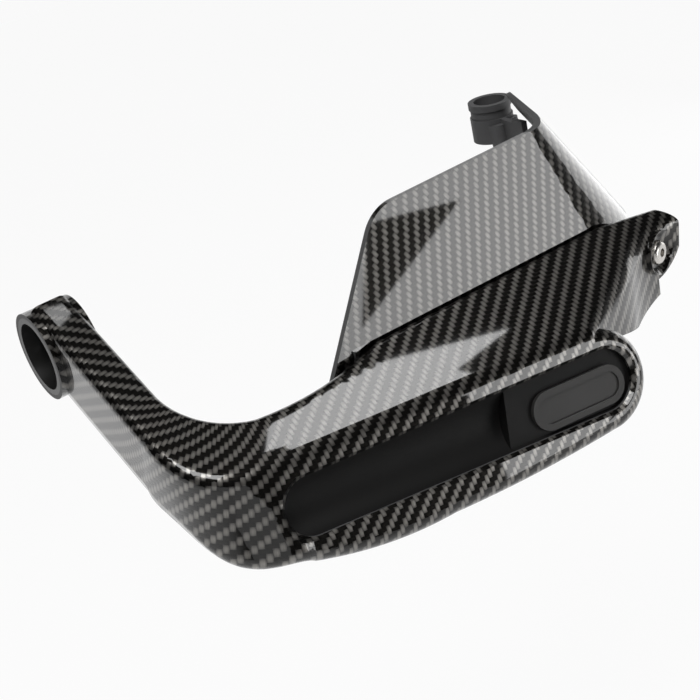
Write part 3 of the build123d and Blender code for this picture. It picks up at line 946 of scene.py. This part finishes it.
def pale_material(look):
    """White studio paper: even to the eye, fading forward in gloss, with a faint shadow."""
    material, tree, shader = new_material("pale_floor")
    shader.inputs["Base Color"].default_value = tinted(look.floor_colour)
    shader.inputs["Roughness"].default_value = 0.9
    place = tree.nodes.new("ShaderNodeTexCoord")
    split = tree.nodes.new("ShaderNodeSeparateXYZ")
    tree.links.new(place.outputs["Object"], split.inputs[0])
    fade = node_row(tree, "ShaderNodeMapRange", interpolation_type="SMOOTHSTEP")
    tree.links.new(split.outputs[1], fade.inputs["Value"])
    fade.inputs["From Min"].default_value, fade.inputs["From Max"].default_value = GLOSS_FADE
    clear = seen_directly(tree, fade.outputs[0])
    glow = tree.nodes.new("ShaderNodeEmission")
    mix = tree.nodes.new("ShaderNodeMixShader")
    tree.links.new(maths(tree, "MULTIPLY", clear, look.floor_glow), mix.inputs[0])
    tree.links.new(shader.outputs[0], mix.inputs[1])
    tree.links.new(glow.outputs[0], mix.inputs[2])
    tree.links.new(mix.outputs[0], tree.get_output_node("ALL").inputs[0])
    return material


def rectangle(left, low, right, high):
    """Corners of an upright rectangle."""
    return ((left, low), (right, low), (right, high), (left, high))


def lay_paper(look):
    """Pale floor under the part and a pale wall behind it."""
    paper = pale_material(look)
    low = cad_box[0].z - look.floor_drop
    floor_plan = rectangle(PAPER_LEFT, PAPER_FRONT, PAPER_RIGHT, PAPER_REAR)
    white_card("floor", [(x, y, low) for x, y in floor_plan], WHOLE_FACE, paper)
    wall_plan = rectangle(PAPER_LEFT, low, PAPER_RIGHT, WALL_TOP)
    white_card("back_wall", [(x, WALL_PLACE, z) for x, z in wall_plan], WHOLE_FACE, paper)


def dim_room(look):
    """World that is white to the eye and dim as light."""
    world = bpy.data.worlds.new("studio")
    bpy.context.scene.world = world
    world.use_nodes = True
    tree = world.node_tree
    background = tree.nodes["Background"].inputs
    background["Color"].default_value = (1.0, 1.0, 1.0, 1.0)
    tree.links.new(
        maths(tree, "MAXIMUM", seen_directly(tree), look.room), background["Strength"]
    )


def hang_lamps(look):
    """Lamp faces that the gloss mirrors, and the soft lamp."""
    front = [(x, FRONT_PLANE, z) for x, z in FRONT_FACE]
    light_panel("front_panel", front, FRONT_FACE_PARTS, look.front_light)
    corner = [(x, FRONT_PLANE, z) for x, z in rectangle(*CORNER_FACE)]
    light_panel("corner_panel", corner, WHOLE_FACE, look.corner_light)
    side = [(SIDE_PLANE, y, z) for y, z in rectangle(*SIDE_FACE)]
    light_panel("side_panel", side, WHOLE_FACE, look.side_light)
    overhead = [(x, y, CEILING_PLANE) for x, y in OVERHEAD_FACE]
    light_panel("overhead_panel", overhead, OVERHEAD_FACE_PARTS, look.top_light)
    over_eye = [(x, y, CEILING_PLANE) for x, y in EYE_FACE]
    light_panel("eye_panel", over_eye, WHOLE_FACE, look.eye_light)
    soft_lamp("key", KEY_PLACE, KEY_AIM, KEY_SIZE, look.key_light)


def set_camera(look):
    """Camera at its place, turned by azimuth, elevation and roll."""
    back = pointing(look.azimuth, look.elevation)
    level = Vector((0.0, 0.0, 1.0)).cross(back).normalized()
    rise = back.cross(level)
    right = level * math.cos(look.roll) + rise * math.sin(look.roll)
    above = rise * math.cos(look.roll) - level * math.sin(look.roll)
    camera = bpy.data.cameras.new("camera")
    camera.sensor_width = SENSOR_WIDTH
    camera.lens = look.lens
    camera.clip_start = 0.01
    camera.clip_end = 50.0
    viewer = bpy.data.objects.new("camera", camera)
    bpy.context.scene.collection.objects.link(viewer)
    turned = Matrix((right, above, back)).transposed().to_4x4()
    viewer.matrix_world = Matrix.Translation(Vector(look.place)) @ turned
    bpy.context.scene.camera = viewer


class HANDGUARD_OT_stage(bpy.types.Operator):
    """Pale floor, soft lamps and the camera"""

    bl_idname = "handguard.stage"
    bl_label = "Stage"

    def execute(self, context):
        look = context.scene.studio_look
        context.scene.view_settings.view_transform = "Standard"
        lay_paper(look)
        dim_room(look)
        hang_lamps(look)
        set_camera(look)
        return {"FINISHED"}


PIECES = (
    HANDGUARD_OT_shell,
    HANDGUARD_OT_deflector,
    HANDGUARD_OT_trim,
    HANDGUARD_OT_fasteners,
    HANDGUARD_OT_stage,
)


class HANDGUARD_PT_sidebar(bpy.types.Panel):
    """Lists the pieces of the hand guard"""

    bl_idname = "HANDGUARD_PT_sidebar"
    bl_label = "Hand Guard"
    bl_space_type = "VIEW_3D"
    bl_region_type = "UI"
    bl_category = "Hand Guard"

    def draw(self, context):
        for piece in PIECES:
            self.layout.operator(piece.bl_idname)
        for kind in ("woven_finish", "trim_finish", "studio_look"):
            box = self.layout.box()
            settings = getattr(context.scene, kind)
            for name in settings.__annotations__:
                box.prop(settings, name)


CLASSES = (WovenFinish, TrimFinish, StudioLook, *PIECES, HANDGUARD_PT_sidebar)


def register():
    """Registers the classes and their settings."""
    for kind in CLASSES:
        bpy.utils.register_class(kind)
    bpy.types.Scene.woven_finish = PointerProperty(type=WovenFinish)
    bpy.types.Scene.trim_finish = PointerProperty(type=TrimFinish)
    bpy.types.Scene.studio_look = PointerProperty(type=StudioLook)


def unregister():
    """Removes the settings and the classes."""
    del bpy.types.Scene.woven_finish
    del bpy.types.Scene.trim_finish
    del bpy.types.Scene.studio_look
    for kind in reversed(CLASSES):
        bpy.utils.unregister_class(kind)


def main():
    """Builds every piece and the stage."""
    register()
    for name in ("Cube", "Light", "Camera"):
        if name in bpy.data.objects:
            bpy.data.objects.remove(bpy.data.objects[name])
    bpy.ops.handguard.shell()
    bpy.ops.handguard.deflector()
    bpy.ops.handguard.trim()
    bpy.ops.handguard.fasteners()
    bpy.ops.handguard.stage()


if __name__ == "__main__":
    main()
